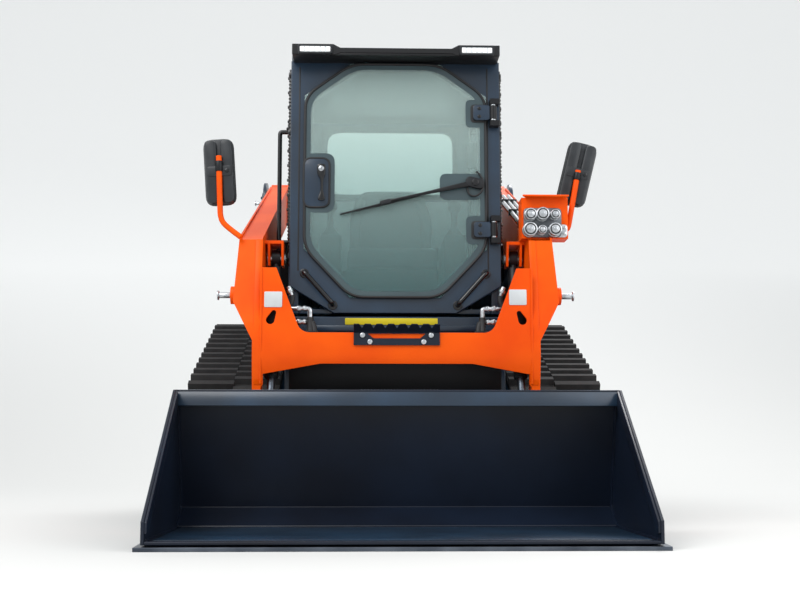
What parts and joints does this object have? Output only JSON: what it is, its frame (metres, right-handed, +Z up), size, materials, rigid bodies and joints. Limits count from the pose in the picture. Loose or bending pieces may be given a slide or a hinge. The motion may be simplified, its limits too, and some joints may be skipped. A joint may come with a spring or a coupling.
{
  "type": "tracked skid steer loader",
  "caption": "Compact loader on rubber tracks with a glazed cab, side arms that lift over the cab, hydraulic cylinders and a low bucket that tilts and dumps.",
  "frame": {"origin": "on the ground under the middle of the machine's box", "axes": "-Y is the front, +X the machine's left seen from the seat (right in the picture), +Z up"},
  "size_m": [1.771, 3.56, 2.062],
  "materials": {
    "slate_paint": "satin",
    "orange_paint": "gloss",
    "black_paint": "satin",
    "track_rubber": "matte",
    "bright_steel": "gloss",
    "worn_steel": "satin",
    "engine_iron": "matte",
    "clear_glass": "gloss",
    "seat_vinyl": "satin",
    "charcoal_plastic": "matte",
    "lamp_white": "gloss",
    "lamp_red": "gloss"
  },
  "bodies": {
    "chassis": {"main_frame": "slate_paint", "tower_inner_plates": "slate_paint", "tower_outer_plates": "slate_paint", "tower_bases": "slate_paint", "engine_block": "engine_iron", "engine_side_panels": "slate_paint", "rear_bumper": "slate_paint", "tail_lamps": "lamp_red", "track_frames": "slate_paint", "drive_sprockets": "slate_paint", "front_idlers": "slate_paint", "rear_idlers": "slate_paint", "track_rollers": "slate_paint", "track_left": "track_rubber", "track_right": "track_rubber", "cab_floor": "slate_paint", "cab_side_left": "slate_paint", "cab_side_right": "slate_paint", "cab_rear": "slate_paint", "cab_roof": "slate_paint", "cab_visor": "slate_paint", "cab_front_frame": "slate_paint", "side_windows": "clear_glass", "rear_window": "clear_glass", "side_guards": "black_paint", "work_lamps": "lamp_white", "cab_hinges": "black_paint", "grab_handles": "black_paint", "cab_mounts": "track_rubber", "bay_hinges": "black_paint", "seat_base": "seat_vinyl", "seat_cushion": "seat_vinyl", "seat_back": "seat_vinyl", "consoles": "charcoal_plastic"},
    "boom": {"arm_left": "orange_paint", "arm_right": "orange_paint", "cross_member": "orange_paint", "step_plate": "slate_paint", "boom_pins": "bright_steel", "mirrors": "charcoal_plastic", "coupler_block": "orange_paint", "couplings": "bright_steel"},
    "bucket": {"quick_coupler": "slate_paint", "coupler_ears": "slate_paint", "bucket_pins": "bright_steel", "bucket_shell": "slate_paint", "bucket_sides": "slate_paint", "cutting_edge": "worn_steel"},
    "lift_barrel_pair": {"lift_barrels": "black_paint"},
    "lift_rod_pair": {"lift_rods": "bright_steel"},
    "tilt_barrel_pair": {"tilt_barrels": "black_paint"},
    "tilt_rod_pair": {"tilt_rods": "bright_steel"},
    "cab_door": {"door_glass": "clear_glass", "door_hinges": "black_paint", "door_handle": "charcoal_plastic", "door_wiper": "black_paint"},
    "hood": {"engine_hood": "slate_paint"},
    "rear_door": {"engine_door": "slate_paint"}
  },
  "joints": [
    {"name": "boom_lift", "type": "hinge", "parent": "chassis", "child": "boom", "pos_m": [0, 0.97, 1.7], "axis": [-1, 0, 0], "range_deg": [0, 74]},
    {"name": "bucket_tilt", "type": "hinge", "parent": "boom", "child": "bucket", "pos_m": [0, -0.825, 0.22], "axis": [1, 0, 0], "range_deg": [-27, 112]},
    {"name": "cab_door_swing", "type": "hinge", "parent": "chassis", "child": "cab_door", "pos_m": [0.425, -0.664, 1.5], "axis": [0, 0, -1], "range_deg": [-85, 0]},
    {"name": "hood_lift", "type": "hinge", "parent": "chassis", "child": "hood", "pos_m": [0, 0.5, 1.553], "axis": [1, 0, 0], "range_deg": [0, 60]},
    {"name": "rear_door_swing", "type": "hinge", "parent": "chassis", "child": "rear_door", "pos_m": [-0.482, 1.67, 1], "axis": [0, 0, 1], "range_deg": [0, 95]},
    {"name": "lift_barrel_swing", "type": "hinge", "parent": "chassis", "child": "lift_barrel_pair", "pos_m": [0, 1.1, 1.08], "axis": [-1, 0, 0], "range_deg": [0, 53.3]},
    {"name": "lift_rod_slide", "type": "slide", "parent": "lift_barrel_pair", "child": "lift_rod_pair", "axis": [0, -0.9957, 0.0928], "range_m": [0, 0.56]},
    {"name": "tilt_barrel_swing", "type": "hinge", "parent": "boom", "child": "tilt_barrel_pair", "pos_m": [0, -0.57, 1.15], "axis": [1, 0, 0], "range_deg": [-1.2, 0.3]},
    {"name": "tilt_rod_slide", "type": "slide", "parent": "tilt_barrel_pair", "child": "tilt_rod_pair", "axis": [0, -0.3956, -0.9184], "range_m": [-0.096, 0.394]}
  ],
  "couplings": [
    {"joint": "lift_barrel_swing", "follows": "boom_lift", "ratio": 0.7196},
    {"joint": "lift_rod_slide", "follows": "boom_lift", "m_per_rad": 0.4332},
    {"joint": "tilt_barrel_swing", "follows": "bucket_tilt", "ratio": -0.01},
    {"joint": "tilt_rod_slide", "follows": "bucket_tilt", "m_per_rad": 0.2005}
  ]
}
